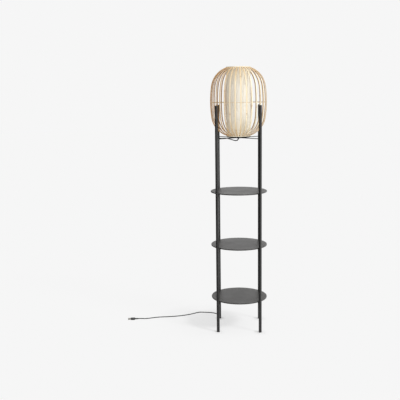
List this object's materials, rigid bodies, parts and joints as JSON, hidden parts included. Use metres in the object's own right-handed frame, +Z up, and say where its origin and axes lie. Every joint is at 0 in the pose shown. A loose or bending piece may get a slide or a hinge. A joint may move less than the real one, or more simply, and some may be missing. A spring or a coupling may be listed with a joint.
{
  "type": "shelf floor lamp",
  "caption": "Floor lamp with round shelves between tube posts and a bowed bamboo splint lantern on top, with its cord running down one post",
  "frame": {"origin": "on the floor, on the lamp's upright axis, midway between the four feet", "axes": "+Z up along the lamp, -Y to the front, +X to the right seen from the front"},
  "size_m": [0.7824, 0.3587, 1.4003],
  "materials": {
    "posts": "satin powder coat",
    "shelves": "satin powder coat",
    "lantern_support": "satin powder coat",
    "end_plugs": "matte",
    "bushes": "matte",
    "fasteners": "zinc plated",
    "holder": "matte",
    "carrier": "matte",
    "contacts": "bright",
    "bulb_metal": "bright",
    "bulb_collar": "gloss",
    "bulb_glass": "opal",
    "cord": "matte",
    "plug": "matte",
    "splints": "natural split bamboo",
    "drum": "natural split bamboo, pale",
    "liner": "matte",
    "hoops": "natural cane"
  },
  "bodies": {
    "frame": {"post_front_left": "posts", "post_front_right": "posts", "post_back_left": "posts", "post_back_right": "posts", "post_caps": "end_plugs", "foot_glides": "end_plugs", "shelf_lower": "shelves", "shelf_middle": "shelves", "shelf_upper": "shelves", "shelf_screws": "fasteners", "shelf_inserts": "fasteners", "lantern_spider": "lantern_support", "lantern_plate": "lantern_support", "threaded_nipple": "fasteners", "nipple_nut": "fasteners", "holder_base": "holder", "holder_body": "holder", "contact_carrier": "carrier", "screw_shell": "contacts", "contact_tongue": "contacts", "strain_relief": "bushes", "cord_in_nipple": "cord", "cord_top": "cord", "cord_in_post": "cord", "cord_entry_grommet": "bushes", "cord_exit_grommet": "bushes", "cord_floor": "cord", "plug_body": "plug", "plug_blades": "contacts"},
    "bulb": {"bulb_contact": "bulb_metal", "bulb_insulator": "carrier", "bulb_cap": "bulb_metal", "bulb_collar": "bulb_collar", "bulb_glass": "bulb_glass"},
    "lantern": {"lantern_splints": "splints", "drum_strips": "drum", "drum_liner": "liner", "lantern_bottom_hoop": "hoops", "lantern_top_hoop": "hoops", "lantern_belly_hoop": "hoops"}
  },
  "joints": [
    {"name": "lantern_lift", "type": "slide", "parent": "frame", "child": "lantern", "axis": [0, 0, 1], "range_m": [0, 0.25]},
    {"name": "bulb_unscrew", "type": "hinge", "parent": "frame", "child": "bulb", "pos_m": [0, 0, 1.08], "axis": [0, 0, 1], "range_deg": [0, 1080]}
  ]
}
